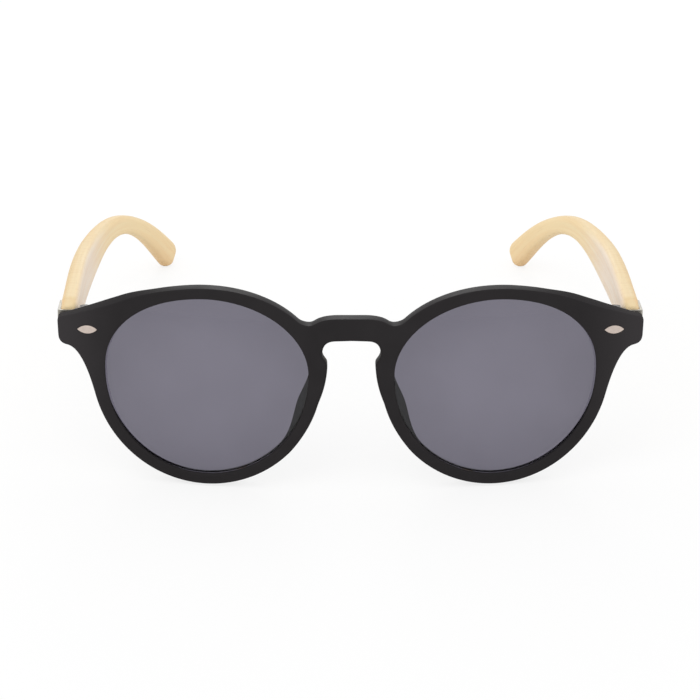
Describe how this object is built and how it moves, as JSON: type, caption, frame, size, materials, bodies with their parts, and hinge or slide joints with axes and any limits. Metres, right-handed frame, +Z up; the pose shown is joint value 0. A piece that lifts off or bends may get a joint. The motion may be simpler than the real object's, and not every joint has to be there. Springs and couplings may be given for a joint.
{
  "type": "sunglasses",
  "caption": "Round sunglasses with a black keyhole-bridge front, grey lenses and bent bamboo temples that fold on spring hinges.",
  "frame": {"origin": "on the floor under the middle of the box of the open sunglasses, which rest on the rims and the temple tips", "axes": "+X across the front to the right as seen from in front, which is the wearer's left, +Y back along the open temples, +Z up"},
  "size_m": [0.146, 0.1452, 0.0506],
  "materials": {
    "front_black": "matte moulded black",
    "lens_smoke": "clear grey tint",
    "trim_satin": "satin",
    "hinge_steel": "plain",
    "bamboo": "sanded and oiled"
  },
  "bodies": {
    "front": {"front_frame": "front_black", "lens_left": "lens_smoke", "lens_right": "lens_smoke", "rivet_left": "trim_satin", "rivet_right": "trim_satin", "hinge_leaf_left": "hinge_steel", "hinge_leaf_right": "hinge_steel", "hinge_screw_left": "hinge_steel", "hinge_screw_right": "hinge_steel"},
    "slider_left": {"hinge_slider_left": "hinge_steel", "spring_collar_left": "hinge_steel", "hinge_spring_left": "hinge_steel"},
    "slider_right": {"hinge_slider_right": "hinge_steel", "spring_collar_right": "hinge_steel", "hinge_spring_right": "hinge_steel"},
    "arm_left": {"temple_left": "bamboo", "temple_cap_left": "trim_satin", "spring_case_left": "hinge_steel", "case_screws_left": "hinge_steel"},
    "arm_right": {"temple_right": "bamboo", "temple_cap_right": "trim_satin", "spring_case_right": "hinge_steel", "case_screws_right": "hinge_steel"}
  },
  "joints": [
    {"name": "left_fold", "type": "hinge", "parent": "front", "child": "slider_left", "pos_m": [-0.06635, -0.05214, 0.03702], "axis": [0, -0.1382, -0.9904], "range_deg": [0, 82.5]},
    {"name": "right_fold", "type": "hinge", "parent": "front", "child": "slider_right", "pos_m": [0.06635, -0.05214, 0.03702], "axis": [0, 0.1382, 0.9904], "range_deg": [0, 72]},
    {"name": "left_flex", "type": "slide", "parent": "slider_left", "child": "arm_left", "axis": [0, 0.9904, -0.1382], "range_m": [0, 0.0012], "stiffness_N_per_m": 1500, "springref_m": -0.002, "deforming": ["hinge_spring_left"]},
    {"name": "right_flex", "type": "slide", "parent": "slider_right", "child": "arm_right", "axis": [0, 0.9904, -0.1382], "range_m": [0, 0.0012], "stiffness_N_per_m": 1500, "springref_m": -0.002, "deforming": ["hinge_spring_right"]}
  ]
}
